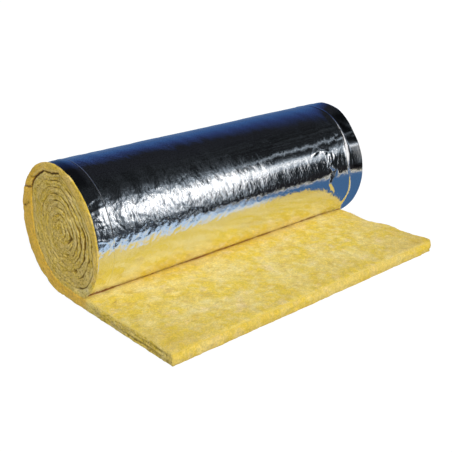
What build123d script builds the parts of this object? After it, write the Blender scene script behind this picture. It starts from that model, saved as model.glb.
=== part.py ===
"""Foil-faced glass wool blanket, wound into a roll with its last stretch laid out flat on the floor.

The roll's axis runs along X. The flap comes out from under the roll and runs towards -Y.
The origin is on the floor, at the middle of the whole part's footprint. All sizes are in millimetres.
"""

import os
from math import acos, degrees, sin

from build123d import *

# Driving dimensions
roll_width = 1219.0  # blanket width, which is the roll's length
roll_radius = 221.0  # outside of the roll, over the facing
wool_thickness = 38.0  # the blanket where it lies free
foil_thickness = 0.3  # facing on the outside of every turn
flap_reach = 570.0  # from below the roll's axis to the flap's cut end
flap_edge_radius = 6.0  # soft top edge of the cut end
outer_turn_thickness = 34.0  # the outermost turn, over the top of the roll
turn_pitch = 21.0  # the inner turns, which are wound tighter
coil_shift = 15.0  # the inner turns sit this far towards the flap, inside the loose outermost one
eye_diameter = 30.0  # the winding starts about this wide
turn_gap = 3.0  # open line between two turns, on the roll's ends
loose_gap = 6.0  # the same line behind the outermost turn, which has sprung loose
gap_depth = 12.0  # how far those lines reach in from the ends

# Places worked out from them
axis_y = (flap_reach - roll_radius) / 2
coil_y = axis_y - coil_shift
flap_end_y = axis_y - flap_reach
flap_top_z = foil_thickness + wool_thickness
roll_top_z = 2 * roll_radius
wool_radius = roll_radius - foil_thickness
roll_axis = (axis_y, roll_radius)

BOTTOM_ANGLE = -90.0  # angles run from +Y, through the top of the roll
FULL_TURN = 360.0


def tuck_angle(radius):
    """Angle from straight down to where a circle about the roll's axis meets the top of the flap."""
    return acos((roll_radius - flap_top_z) / radius)


def tuck_y(radius):
    """Where that circle meets the top of the flap."""
    return axis_y - radius * sin(tuck_angle(radius))


def wound_arc(radius):
    """The outside of the roll, from straight down, round the back and over the top to the flap."""
    return CenterArc(roll_axis, radius, BOTTOM_ANGLE, FULL_TURN - degrees(tuck_angle(radius)))


def winding_line(first_half_turn, last_half_turn):
    """Half circles along the joint between turns, each from where the last one ended."""
    low_z = flap_top_z
    high_z = roll_top_z - outer_turn_thickness - foil_thickness
    for half_turn in range(last_half_turn):
        diameter = high_z - low_z
        goes_up = half_turn % 2 == 0
        if half_turn >= first_half_turn:
            CenterArc(
                (coil_y, (low_z + high_z) / 2),
                diameter / 2,
                BOTTOM_ANGLE if goes_up else -BOTTOM_ANGLE,
                FULL_TURN / 2,
            )
        if goes_up:
            low_z += turn_pitch
        else:
            high_z -= turn_pitch


first_diameter = roll_top_z - outer_turn_thickness - foil_thickness - flap_top_z
half_turns = int((first_diameter - eye_diameter) / turn_pitch) + 1

# Wool blanket: the wound roll and the flap are one length of wool
with BuildPart() as wool_blanket:
    with BuildSketch(Plane.YZ):
        with BuildLine():
            Line((flap_end_y, foil_thickness), (axis_y, foil_thickness))
            wound_arc(wool_radius)
            Polyline(
                (tuck_y(wool_radius), flap_top_z),
                (flap_end_y, flap_top_z),
                (flap_end_y, foil_thickness),
            )
        make_face()
    extrude(amount=roll_width / 2, both=True)
    cut_end = wool_blanket.faces().sort_by(Axis.Y)[0]
    fillet(cut_end.edges().sort_by(Axis.Z)[-1], radius=flap_edge_radius)

    # The turns show on both ends as one line that winds in, from just inside the tuck above the flap
    for side in (-1, 1):
        gap_floor = Plane.YZ.offset(side * (roll_width / 2 - gap_depth))
        with BuildSketch(gap_floor):
            with BuildLine():
                Line((tuck_y(wool_radius) + turn_gap, flap_top_z), (coil_y, flap_top_z))
                winding_line(1, half_turns)
            trace(line_width=turn_gap)
            with BuildLine():
                winding_line(0, 1)
            trace(line_width=loose_gap)
        extrude(amount=side * gap_depth, mode=Mode.SUBTRACT)

# Foil facing: under the flap, up the back, over the top and down the front to the flap
with BuildPart() as foil_facing:
    with BuildSketch(Plane.YZ):
        with BuildLine():
            Polyline((flap_end_y, foil_thickness), (flap_end_y, 0), (axis_y, 0))
            wound_arc(roll_radius)
            Line((tuck_y(roll_radius), flap_top_z), (tuck_y(wool_radius), flap_top_z))
            wound_arc(wool_radius)
            Line((axis_y, foil_thickness), (flap_end_y, foil_thickness))
        make_face()
    extrude(amount=roll_width / 2, both=True)

wool_blanket.part.label = "wool_blanket"
foil_facing.part.label = "foil_facing"
os.makedirs("parts", exist_ok=True)
for piece in (wool_blanket.part, foil_facing.part):
    export_step(piece, f"parts/{piece.label}.step")
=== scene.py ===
"""Looks of a foil-faced glass wool roll: matted wool, crinkled foil, loose fibres, studio and camera.

The roll's axis runs along X, and the flap comes out from under it towards -Y. All sizes are in metres.
"""

from math import atan2, cos, pi, radians, sin, sqrt, tau

import bmesh
import bpy
import numpy as np
from bpy.props import FloatProperty, FloatVectorProperty, IntProperty, PointerProperty
from mathutils import Matrix, Vector


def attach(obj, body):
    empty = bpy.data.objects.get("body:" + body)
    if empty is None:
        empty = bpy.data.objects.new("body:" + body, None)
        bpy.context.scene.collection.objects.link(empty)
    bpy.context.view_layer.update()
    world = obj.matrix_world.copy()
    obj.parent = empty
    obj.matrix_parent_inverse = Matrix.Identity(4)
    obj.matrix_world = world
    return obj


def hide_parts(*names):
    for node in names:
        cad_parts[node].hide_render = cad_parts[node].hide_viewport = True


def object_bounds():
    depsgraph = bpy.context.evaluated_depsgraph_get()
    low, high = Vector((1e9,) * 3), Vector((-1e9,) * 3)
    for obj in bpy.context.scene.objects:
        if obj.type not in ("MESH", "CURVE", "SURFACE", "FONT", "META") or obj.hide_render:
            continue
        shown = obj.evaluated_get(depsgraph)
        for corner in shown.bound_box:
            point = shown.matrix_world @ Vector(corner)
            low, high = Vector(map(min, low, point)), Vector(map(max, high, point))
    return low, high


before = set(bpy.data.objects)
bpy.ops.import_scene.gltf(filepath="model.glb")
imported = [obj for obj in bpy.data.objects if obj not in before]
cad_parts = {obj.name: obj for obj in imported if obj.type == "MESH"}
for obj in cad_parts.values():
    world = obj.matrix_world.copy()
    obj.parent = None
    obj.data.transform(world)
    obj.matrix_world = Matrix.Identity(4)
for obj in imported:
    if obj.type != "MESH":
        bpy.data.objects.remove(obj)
cad_low, cad_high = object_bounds()

bl_info = {
    "name": "Insulation Roll",
    "version": (1, 0, 0),
    "blender": (4, 5, 0),
    "location": "View3D > Sidebar > Insulation Roll",
    "description": "Dresses a foil-faced glass wool roll and lights it",
    "category": "Object",
}

# Places read from the frame
width = cad_high.x - cad_low.x
roll_radius = cad_high.z / 2
axis_y = cad_high.y - roll_radius
flap_end_y = cad_low.y


# Settings that a user would change


def length_setting(name, description, default):
    return FloatProperty(name=name, description=description, default=default, unit="LENGTH")


def colour_setting(name, description, default):
    return FloatVectorProperty(name=name, description=description, default=default, subtype="COLOR")


class BlanketSettings(bpy.types.PropertyGroup):
    """Sizes of the wound blanket."""

    thickness: length_setting("Thickness", "Wool where it lies free", 0.038)
    turn_pitch: length_setting("Turn pitch", "From one wound turn to the next", 0.021)
    outer_turn: length_setting("Outer turn", "Outermost turn over the top of the roll", 0.034)
    coil_shift: length_setting("Coil shift", "How far the coil sits towards the front", 0.015)
    eye_radius: length_setting("Eye radius", "Pinched hole where the winding starts", 0.006)
    loose_gap: length_setting("Loose gap", "Open crack behind the outermost turn", 0.0032)
    fibres: IntProperty(name="Fibres", description="Loose fibres on the flap", default=1600, min=0)


class WoolSettings(bpy.types.PropertyGroup):
    """Colours of the glass wool."""

    yellow: colour_setting("Yellow", "Body of the wool", (0.83, 0.62, 0.055))
    cream: colour_setting("Cream", "Pale matted patches", (0.92, 0.80, 0.38))
    pink: colour_setting("Pink", "Faint rosy patches", (0.91, 0.73, 0.40))
    # Orange: painted warm light at the back of the outer turn and on the flap near the tuck
    orange: colour_setting("Orange", "Warm cast at the back of the outer turn", (0.92, 0.54, 0.035))
    # Olive: on the coil's ends and the cut end, partly the rough cut's own colour and partly painted shade;
    # on the flap, painted shade towards its edges
    olive: colour_setting("Olive", "Dusty cast of the coil's ends", (0.62, 0.395, 0.03))
    amber: colour_setting("Amber", "Deep patches and old binder", (0.64, 0.42, 0.05))
    # Shade: painted shade between the turns, in splits, tears, cracks and the eye; also the ends' own dark
    # specks and layers
    shade: colour_setting("Shade", "Dusty brown between the turns", (0.19, 0.105, 0.005))
    # Rust: painted reddish-brown shade in the crease along the tuck and in the cracks of the ends
    reddish_shade: colour_setting("Reddish shade", "Reddish brown in the crease", (0.42, 0.13, 0.012))


class FoilSettings(bpy.types.PropertyGroup):
    """Relief and colour of the facing."""

    colour: colour_setting("Colour", "Bright aluminium", (0.96, 0.96, 0.97))
    crinkle: length_setting("Crinkle", "Height of the small wrinkles", 0.0010)
    dent: length_setting("Dent", "Height of the broad dents", 0.0009)
    left_seam: length_setting("Left seam", "From the left edge to the crease line", 0.061)


class StageSettings(bpy.types.PropertyGroup):
    """Camera, studio light and floor."""

    lens: FloatProperty(name="Lens", description="Focal length", default=63.696, unit="CAMERA")
    key_light: FloatProperty(name="Key", description="Large soft light from the front", default=4.2)
    dome_light: FloatProperty(name="Dome", description="Even light from all round", default=0.40)
    strip_light: FloatProperty(name="Strip", description="Strip light that shows in the foil", default=1.3)


class RollSettings(bpy.types.PropertyGroup):
    """All settings of the roll."""

    blanket: PointerProperty(type=BlanketSettings)
    wool: PointerProperty(type=WoolSettings)
    foil: PointerProperty(type=FoilSettings)
    stage: PointerProperty(type=StageSettings)


# Shapes


class Grain:
    """Smooth random heights from about -1 to 1 over a plane, the same on every run."""

    SIZE = 256

    def __init__(self, seed):
        angle = np.random.default_rng(seed).uniform(0, tau, (self.SIZE, self.SIZE))
        self.slopes = np.stack((np.cos(angle), np.sin(angle)), axis=-1)

    def __call__(self, x, y):
        x, y = np.broadcast_arrays(np.asarray(x, float), np.asarray(y, float))
        column, row = np.floor(x).astype(int), np.floor(y).astype(int)
        across, along = x - column, y - row

        def corner(i, j):
            slope = self.slopes[(column + i) % self.SIZE, (row + j) % self.SIZE]
            return slope[..., 0] * (across - i) + slope[..., 1] * (along - j)

        ease_x, ease_y = ease(across), ease(along)
        near = corner(0, 0) + ease_x * (corner(1, 0) - corner(0, 0))
        far = corner(0, 1) + ease_x * (corner(1, 1) - corner(0, 1))
        return 1.5 * (near + ease_y * (far - near))


def ease(share):
    """Share from 0 to 1, eased at both ends."""
    share = np.clip(share, 0, 1)
    return share * share * (3 - 2 * share)


def ramp(value, low, high):
    """0 below low, 1 above high, eased between."""
    return ease((np.asarray(value, float) - low) / (high - low))


def bell(value, middle, half_width):
    """1 at the middle, falling to 0 at half_width from it."""
    return ease(1 - np.abs(np.asarray(value, float) - middle) / half_width)


def rounding(distance, reach):
    """How far a round edge has dropped, as a share, at a distance from the edge."""
    return np.clip(1 - distance / reach, 0, 1) ** 2


def soft_edge(distance, reach, drop):
    """How far a round edge has dropped at a distance from it."""
    return rounding(distance, reach) * drop


def blend(first, second, share):
    return first + (second - first) * share


class Surface:
    """Vertices and faces of one closed mesh, with three values that the materials read at each vertex.

    The lay is the place along the fibres or on the flat sheet. The depth is the painted shade on the wool,
    with a painted highlight below 0, and how slack the foil is. The tone is the wool's cast of colour,
    partly painted light and shade, and on the foil its worn places and, below 0, a painted darker
    reflection.
    """

    def __init__(self):
        self.points, self.lays, self.depths, self.tones = [], [], [], []
        self.faces = []
        self.count = 0

    def add(self, points, lay, depth, tone=0.0):
        """Adds a grid of points and returns their numbers in the same grid."""
        shape = points.shape[:-1]
        number = np.arange(self.count, self.count + int(np.prod(shape))).reshape(shape)
        self.points.append(points.reshape(-1, 3))
        self.lays.append(np.broadcast_to(lay, points.shape).reshape(-1, 3))
        self.depths.append(np.broadcast_to(depth, shape).reshape(-1))
        self.tones.append(np.broadcast_to(tone, shape).reshape(-1))
        self.count += number.size
        return number

    def quads(self, a, b, c, d):
        self.faces.extend(np.stack((a, b, c, d), axis=-1).reshape(-1, 4).tolist())

    def grid(self, rows):
        self.quads(rows[:-1, :-1], rows[1:, :-1], rows[1:, 1:], rows[:-1, 1:])

    def stitch(self, first, second, first_place, second_place):
        """Triangles between two rows of vertices, unlike in number, by their places along them."""
        i = j = 0
        while i < len(first) - 1 or j < len(second) - 1:
            step_first = j == len(second) - 1 or (
                i < len(first) - 1 and first_place[i + 1] <= second_place[j + 1]
            )
            if step_first:
                self.faces.append([int(first[i]), int(first[i + 1]), int(second[j])])
                i += 1
            else:
                self.faces.append([int(first[i]), int(second[j + 1]), int(second[j])])
                j += 1

    def fan(self, ring, centre):
        for here, there in zip(ring, np.roll(ring, -1)):
            self.faces.append([int(here), int(there), int(centre)])

    def build(self, name):
        """Makes the object, with all faces turned outwards."""
        mesh = bpy.data.meshes.new(name)
        mesh.from_pydata(np.concatenate(self.points).tolist(), [], self.faces)
        lay = mesh.attributes.new("lay", "FLOAT_VECTOR", "POINT")
        lay.data.foreach_set("vector", np.concatenate(self.lays).astype(np.float32).ravel())
        for label, values in (("depth", self.depths), ("tone", self.tones)):
            kept = mesh.attributes.new(label, "FLOAT", "POINT")
            kept.data.foreach_set("value", np.concatenate(values).astype(np.float32))
        shape = bmesh.new()
        shape.from_mesh(mesh)
        bmesh.ops.recalc_face_normals(shape, faces=shape.faces)
        shape.to_mesh(mesh)
        shape.free()
        mesh.shade_smooth()
        piece = bpy.data.objects.new(name, mesh)
        bpy.context.scene.collection.objects.link(piece)
        return piece


RIM_AT = (-30, -12, 0, 10, 20, 28, 36, 43, 52, 66, 80, 100, 150)  # degrees from the top towards the flap
RIM_FLARE = (0, 0.001, 0.010, 0.012, 0.0143, 0.0122, 0.0085, 0.005, 0.002, 0.003, 0.0055, 0.007, 0.0075)
RIM_REACH = 0.095  # the flare starts this far from the right edge
LEFT_CURL = 0.0024
LEFT_CURL_REACH = 0.045
LEFT_CURL_ENDS = (82, 92)  # degrees from the top


def end_curl(x, angle):
    """How far the roll's outside curls in at its left edge or, below 0, flares out round its right rim."""
    from_top = np.degrees(angle) - 180
    curled = rounding(x + width / 2, LEFT_CURL_REACH) * LEFT_CURL * (1 - ramp(from_top, *LEFT_CURL_ENDS))
    return curled - np.interp(from_top, RIM_AT, RIM_FLARE) * rounding(width / 2 - x, RIM_REACH)


class Blanket:
    """Where the wound blanket lies: the flap in x, y and z, the turns as radii about the coil's centre.

    Angles round the coil start below its centre and go up the back, over the top and down the front.
    """

    STEPS = 240  # places round one turn
    FLAP_STEP = 0.0045
    BOTTOM_Z = 0.0015  # underside of the wool, above the facing
    EDGE_Z = 0.0004  # the wool's lower edges hang down past the edge of the facing
    TOP_LIFT = 0.0003  # the flap's upper face lies this much above its thickness
    FOIL_ROOM = 0.0026  # the wool stays this far inside the roll's outside
    PUFF = 0.0047  # and swells this far past it at the left end, round the edge of the facing
    EYE_START = 2.5  # the winding starts at this many times the eye's radius
    BACK_PRESS = 0.013  # the loose outermost turn stands this much further off the coil at the back
    CRACK_AT = (91, 104, 119, 127, 134, 148, 155, 158, 169, 178, 184, 187, 195)  # degrees round the coil
    CRACK_KINKS = (0, 0.0075, 0.019, 0.021, 0.019, 0.013, 0.0155, 0.0085, 0.002, 0.006, 0.011, 0.004, 0)
    KINK_FADE = 0.5  # the kinks shrink to this share with each whole turn
    SLUMP = 0.017  # the coil has sunk this far away from the outermost turn, high on the front
    SLUMP_AT = (226, 42)  # middle and half width in degrees
    SAG = 0.024  # its outer turns sag this far into the corner above the tuck
    SAG_AT = (317, 47)
    SAG_FADE = 0.4  # and this share as far with each further turn
    SHUT_GAP = 0.0004  # between turns that are pressed together
    FRONT_GAP = 0.0014  # behind the outermost turn, down the front
    CUT_BULGE = 0.004  # the cut end stands this far past the end of the solid
    CUT_TOP_EDGE = (0.017, 0.010)  # reach and drop of a soft edge
    CUT_LOW_EDGE = (0.005, 0.002)
    CUT_CORNER = (0.006, 0.0015)
    SIDE_EDGE = (0.007, 0.0015)
    FLAP_END_EDGE = (0.014, 0.004)
    PRESSED = (0.02, 0.0015)  # the flap is pressed down beside the roll
    ACROSS = np.array([0, 0.06, 0.15, 0.28, 0.43, 0.57, 0.72, 0.85, 0.94, 1.0])

    def __init__(self, settings):
        self.settings = settings
        self.top_z = settings.thickness + self.TOP_LIFT
        self.centre_y = axis_y - settings.coil_shift
        coil_top = 2 * roll_radius - settings.outer_turn
        self.first_radius = (coil_top - self.top_z + settings.turn_pitch / 2) / 2
        self.centre_z = self.top_z + self.first_radius
        self.tuck_y = axis_y - sqrt(roll_radius**2 - (roll_radius - self.top_z) ** 2)
        tuck_angle = atan2(self.centre_y - self.tuck_y, self.first_radius)
        self.tuck_steps = round(tuck_angle / tau * self.STEPS)
        self.flap_steps = round((self.tuck_y - flap_end_y) / self.FLAP_STEP)
        turns = (self.first_radius - self.EYE_START * settings.eye_radius) / settings.turn_pitch
        self.last_step = round((1 + turns) * self.STEPS)
        self.wobble, self.lumps, self.fleece, self.strands = Grain(3), Grain(5), Grain(8), Grain(13)

    def angle(self, step):
        return np.asarray(step) / self.STEPS * tau

    def outside(self, step, inset):
        """Radius of the blanket's outer face: the roll's outside for most of a turn, then the coil."""
        steps = np.asarray(step)
        angle = self.angle(step)
        tucked = self.first_radius / np.cos(np.clip(tau - angle, 0, 1.0))
        after_first = np.where(steps < self.STEPS, tucked, self.coil(angle))
        return np.where(steps <= self.STEPS - self.tuck_steps, self.first_turn(angle, inset), after_first)

    def first_turn(self, angle, inset):
        """The roll's outside, about its own axis, and the flat start below it."""
        radius = roll_radius - inset
        shift_y, shift_z = self.centre_y - axis_y, self.centre_z - roll_radius
        towards = shift_y * np.sin(angle) - shift_z * np.cos(angle)
        round_part = -towards + np.sqrt(towards**2 + radius**2 - shift_y**2 - shift_z**2)
        down = np.cos(np.minimum(np.abs(angle), 1.0))
        flat_part = (self.centre_z - self.BOTTOM_Z) / down
        at_flat = self.centre_y + flat_part * np.sin(angle) < axis_y
        return np.where((angle < 0.2) & at_flat, flat_part, round_part)

    def coil(self, angle):
        """The turns inside the outermost one: uneven, kinked at the crack, slumped and sagging."""
        degrees_round = np.degrees(angle) % 360
        turn = np.maximum(angle / tau - 1, 0)
        uneven = 0
        for grain, waves, drift, height in (
            (self.wobble, 9.0, 2.3, 0.0034),
            (self.fleece, 27.0, 1.1, 0.0026),
            (self.fleece, 52.0, 3.1, 0.0016),
        ):
            uneven = uneven + grain(turn * waves, turn * drift) * height
        coil = self.first_radius - self.settings.turn_pitch * turn + uneven * ramp(turn, 0, 0.2)
        kinks = np.interp(degrees_round, self.CRACK_AT, self.CRACK_KINKS)
        coil = coil + kinks * self.KINK_FADE ** np.floor(turn)
        coil = coil - self.SLUMP * bell(degrees_round, *self.SLUMP_AT) * coil / self.first_radius
        outer_turns = self.SAG_FADE ** np.maximum(turn - 0.9, 0)
        coil = coil + self.SAG * bell(degrees_round, *self.SAG_AT) * outer_turns
        back_half = np.maximum(np.sin(angle), 0) ** 2
        coil = coil - self.BACK_PRESS * back_half * (np.maximum(coil, 0) / self.first_radius) ** 2
        return np.maximum(coil, self.settings.eye_radius)

    def gap(self, step):
        """Open width between a turn and the next one inside it."""
        angle = self.angle(step)
        degrees_round = np.degrees(angle)
        jagged = self.fleece(angle * 9.0, 0.3)
        uneven = self.wobble(angle * 3.1 + 60, 4.4)
        crack = ramp(degrees_round, 116, 124) * (1 - ramp(degrees_round, 180, 190))
        crack = crack * (1 + 0.35 * jagged) * self.settings.loose_gap
        front = ramp(degrees_round, 150, 200) * (angle < tau)
        thin = blend(self.SHUT_GAP, self.FRONT_GAP, front) + self.SHUT_GAP * (angle > tau)
        return np.maximum(thin * (1 + 0.7 * uneven + 0.3 * jagged), crack)

    def line_open(self, step):
        """How clearly the line inside a turn shows on the ends: dark at the front, shut at the back."""
        angle = self.angle(step)
        degrees_round = np.degrees(angle)
        front = (0.5 - 0.5 * np.sin(angle + 0.4)) ** 2.8
        patchy = 0.4 * self.wobble(angle * 3.7, 2.2) + 0.35 * self.fleece(angle * 13.0, 6.1)
        loose_back = ramp(degrees_round, -20, 0) * (1 - ramp(degrees_round, 98, 120))
        crack = ramp(degrees_round, 116, 122) * (1 - ramp(degrees_round, 182, 190))
        first = 0.35 * ramp(degrees_round, 192, 230) * (angle < tau)
        pressed = 0.5 * bell(degrees_round % 360, 345, 32)
        shown = np.clip(blend(0.28, 1.4, front) + patchy + first - pressed, 0, 1.5)
        return np.maximum(shown * (1 - loose_back), 1.2 * crack)

    def cut_y(self, x, across):
        """The flap's cut end: soft edges, a little ragged."""
        thickness = self.settings.thickness
        edge = soft_edge((1 - across) * thickness, *self.CUT_TOP_EDGE)
        edge = edge + soft_edge(across * thickness, *self.CUT_LOW_EDGE)
        ragged = self.lumps(x / 0.05, across * 0.8) * 0.0024 + self.fleece(x / 0.014, across * 3) * 0.0016
        corner = soft_edge(width / 2 - np.abs(x), *self.CUT_CORNER)
        return flap_end_y - self.CUT_BULGE + edge + corner + ragged

    def flap_top(self, x, y):
        """Height of the flap's upper face: soft lumps, round edges, pressed down beside the roll."""
        height = self.top_z
        for grain, size, shift, rise in (
            (self.lumps, 0.20, 0, 0.0016),
            (self.lumps, 0.055, 9, 0.0016),
            (self.fleece, 0.018, 0, 0.0008),
        ):
            height = height + grain(x / size + shift, y / size) * rise
        height = height - soft_edge(width / 2 - np.abs(x), *self.SIDE_EDGE)
        height = height - soft_edge(y - flap_end_y, *self.FLAP_END_EDGE)
        reach, drop = self.PRESSED
        return height - ramp(y, self.tuck_y - reach, self.tuck_y) * drop

    def flap_y(self, x, share, across):
        """Place along the flap, from the cut end at share 0 to the tuck at share 1."""
        return blend(self.cut_y(x, across), self.tuck_y, share)


class WoolSurface(Surface):
    """The whole blanket as one closed skin."""

    TOP_STEP = 0.0045
    TEARS = ((117.5, 7, 0, 1), (99.3, 11, 0.1, 0.68), (129.7, 9.5, 0.5, 1))  # degrees, slant, shares across
    TEAR_WIDTH = 1.9  # degrees from its middle
    # How far the flap's right edge lies inside the blanket's width, by the distance from the cut end
    RIGHT_EDGE_AT = (-0.005, 0.02, 0.045, 0.09, 0.142, 0.175, 0.205, 0.25, 0.275, 0.31, 0.40)
    RIGHT_EDGE = (0.010, -0.0145, -0.0145, -0.0045, -0.0005, -0.008, -0.0075, 0.0095, 0.014, 0.010, 0.004)
    CORNER_CUT = (0.05, 0.007)  # the right corner is cut back further at its foot: reach and depth
    TURN_EDGE = 0.006  # reach of the soft edges of a turn
    OUTER_DROP = 0.002  # of the edge beside the facing
    LINE_DROP = 0.0034  # of the edges beside an open line
    FLAP_EDGE = (0.008, 0.003)  # reach and drop along the flap's upper side edge
    LINE_REACH = 0.0056  # painted shade beside a line
    LIP_HIGHLIGHT = (0.006, 0.005)  # and a painted highlight on the lip next to the painted shade: middle and half width
    GROOVE_DEPTH = 0.002
    EYE_DEPTH = 0.014
    TUCK_SLOT = 0.0012  # thin slot where the roll lies on the flap
    SLOT_REACH = 0.028  # the slot runs in this far from the tuck
    SLOT_DROP = 0.001
    CREASE_REACH = 0.0088  # painted reddish-brown shade on the flap along the tuck
    RIM_COVER = 1.75  # the flared rim hides this many times its flare of the flap
    HIDDEN_COLUMNS = np.array(
        [0.002, 0.005, 0.015, 0.03, 0.2, 0.5, 0.8, 0.895, 0.915, 0.935, 0.955, 0.97, 0.985, 0.995, 0.998]
    )

    def __init__(self, blanket):
        super().__init__()
        self.blanket = blanket
        columns = round(width / self.TOP_STEP)
        self.shares = np.linspace(0, 1, columns + 1)
        self.hidden_shares = np.concatenate(([0], self.HIDDEN_COLUMNS, [1]))
        self.left, self.left_grooves = self.end_face(-1)
        self.right, self.right_grooves = self.end_face(1)
        top = self.flap_upper_face()
        cut = self.cut_end(top[0])
        self.hidden_side(cut[0], top[-1])

    def end_face(self, side):
        """One end of the blanket: the flap's side and all turns, with grooves between them."""
        wool = self.blanket
        steps = np.arange(-wool.tuck_steps - wool.flap_steps, wool.last_step + 1)
        across = wool.ACROSS
        x = side * width / 2
        flap = steps < 0
        share = np.clip((steps + wool.tuck_steps + wool.flap_steps) / wool.flap_steps, 0, 1)[:, None]
        tucked_y = wool.centre_y + wool.first_radius * np.tan(np.clip(wool.angle(steps), -1, 0))
        flap_y = np.where(
            (steps <= -wool.tuck_steps)[:, None], wool.flap_y(x, share, across), tucked_y[:, None]
        )
        slot = np.where(steps > -wool.tuck_steps, self.TUCK_SLOT, 0)[:, None]
        flap_z = blend(wool.EDGE_Z, wool.flap_top(x, flap_y) - slot, across)
        turning = np.maximum(steps, 0)
        puff = wool.PUFF if side < 0 else -wool.FOIL_ROOM
        outer = wool.outside(turning, end_curl(x, wool.angle(turning)) - puff)
        gap = wool.gap(turning)
        inner = wool.outside(turning + wool.STEPS, 0.0) + gap
        angle = wool.angle(turning)[:, None]
        radius = blend(outer[:, None], inner[:, None], across)
        y = np.where(flap[:, None], flap_y, wool.centre_y + radius * np.sin(angle))
        z = np.where(flap[:, None], flap_z, wool.centre_z - radius * np.cos(angle))
        along = np.concatenate(([0], np.cumsum(np.hypot(np.diff(y[:, 0]), np.diff(z[:, 0])))))
        thick = np.where(flap, wool.settings.thickness, outer - inner)
        recess, depth, tone = self.end_relief(side, steps, along, thick, y, z)
        points = np.stack((side * (width / 2 - recess), y, z), axis=-1)
        along_turns = np.broadcast_to(along[:, None], y.shape)
        lay = np.stack((along_turns, across * thick[:, None], y * 0 + side), axis=-1)
        number = self.add(points, lay, depth, tone)
        self.grid(number)

        first = wool.flap_steps
        last = len(steps) - 1 - wool.STEPS
        grooves = np.arange(first, last + 1)
        from_edge, to_edge = points[grooves, -1], points[grooves + wool.STEPS, 0]
        floor = (from_edge + to_edge) / 2
        shown = wool.line_open(steps[grooves])
        deep = (self.GROOVE_DEPTH + 3.0 * gap[grooves]) * blend(0.3, 1.0, np.minimum(shown, 1))
        floor[:, 0] = side * (np.minimum(np.abs(from_edge[:, 0]), np.abs(to_edge[:, 0])) - deep)
        # The groove floor gets painted shade, darker still in the crack, where it passes 1
        groove = self.add(floor, lay[grooves, -1], np.clip(0.2 + shown, 0, 1.4), tone[grooves, -1])
        self.grid(np.stack((number[grooves, -1], groove, number[grooves + wool.STEPS, 0]), axis=1))
        ring = np.concatenate((number[-1], number[last:-1, -1][::-1], groove[-1:]))
        eye = np.array([[side * (width / 2 - self.EYE_DEPTH), wool.centre_y, wool.centre_z]])
        # Painted shade in the eye at the middle of the coil
        centre = self.add(eye, lay[-1:, 0], 0.6)
        self.fan(ring, centre[0])
        return number, groove

    def end_relief(self, side, steps, along, thick, y, z):
        """How far each point of an end lies behind the blanket's width, its painted shade and highlight, and
        its tone.
        """
        wool = self.blanket
        across = wool.ACROSS
        from_outer, from_inner = across * thick[:, None], (1 - across) * thick[:, None]
        turn = np.maximum(wool.angle(steps) / tau, 0)[:, None]
        free_outer = (steps <= wool.STEPS - wool.tuck_steps)[:, None]
        free_inner = (steps < -wool.tuck_steps)[:, None]
        flap = (steps < 0)[:, None]
        s, u = along[:, None], from_outer
        degrees_round = np.degrees(wool.angle(steps))[:, None]
        in_coil = ramp(turn, 0.85, 1.1)
        front = 0.5 - 0.5 * np.sin(wool.angle(steps))[:, None]
        outer_open = wool.line_open(steps - wool.STEPS)[:, None]
        inner_open = wool.line_open(steps)[:, None]

        outer_drop = np.where(free_outer, self.OUTER_DROP, self.LINE_DROP * outer_open)
        outer_edge = rounding(from_outer, self.TURN_EDGE) * outer_drop
        inner_edge = soft_edge(from_inner, self.TURN_EDGE, self.LINE_DROP) * inner_open
        inner_edge = np.where(free_inner, soft_edge(from_inner, *self.FLAP_EDGE), inner_edge)
        telescoped = 0.002 * ramp(turn, 0.75, 1.15) + wool.wobble(turn * 1.7 + 31, side * 5.0) * 0.002
        strands = wool.strands(s / 0.03, u / 0.0040 + turn * 7) * 0.0012
        lumps = wool.lumps(y / 0.04 + 3 * side, z / 0.04) * 0.0016
        tufts = wool.fleece(s / 0.011 + side * 40, u / 0.009 + turn * 5) * 0.0010
        run, layer = s / np.where(flap, 0.20, 0.05), u / np.where(flap, 0.0075, 0.0085)
        together = np.where(flap, 0.08, 0.14)
        split = np.maximum(wool.strands(run + 40, layer + side * 3 + turn * 4) - together, 0)
        whole = 1 - ramp(y, wool.tuck_y - 0.16, wool.tuck_y - 0.05)
        split = split * np.where(flap, 0.016 * whole, 0.004 + 0.014 * in_coil * front)
        if side > 0:
            reach, cut = self.CORNER_CUT
            trimmed = np.interp(y - flap_end_y, self.RIGHT_EDGE_AT, self.RIGHT_EDGE)
            trimmed = trimmed + cut * (1 - across) * ramp(y, flap_end_y + reach, flap_end_y)
        else:
            trimmed = wool.lumps(s / 0.07 - 11, 0.5) * 0.0015 - 0.001
        flap_only = trimmed * (1 - ramp(degrees_round, -20, 25))
        torn = 0
        for place, slant, first, last in self.TEARS if side < 0 else ():
            middle = place + slant * (across - 0.5) + 1.2 * wool.fleece(across * 3.0, place)
            torn = torn + bell(degrees_round, middle, self.TEAR_WIDTH) * (across >= first) * (across <= last)
        recess = outer_edge + inner_edge + telescoped + strands + lumps + tufts + split
        recess = recess + flap_only + torn * blend(0.002, 0.008, ramp(across, 0, 0.3))

        # Painted shade along the lines between turns, in the splits and in the tears, and a painted
        # highlight on the lip beside each line
        line = pale = 0
        for free, away, opened in (
            (free_outer, from_outer, outer_open),
            (free_inner, from_inner, inner_open),
        ):
            line = line + np.where(free, 0, rounding(away, self.LINE_REACH) * opened)
            pale = pale + np.where(free, 0, bell(away, *self.LIP_HIGHLIGHT) * opened)
        dark = np.clip(line + split * np.where(flap, 95, 75) + torn * 1.1, 0, 1)
        # Painted warm light: the back of the outer turn is lit orange
        painted_warm_light = ramp(degrees_round, -54, -22) * (1 - 0.45 * ramp(degrees_round, 120, 180))
        painted_warm_light = painted_warm_light * blend(0.8, 1.0, across)
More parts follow.
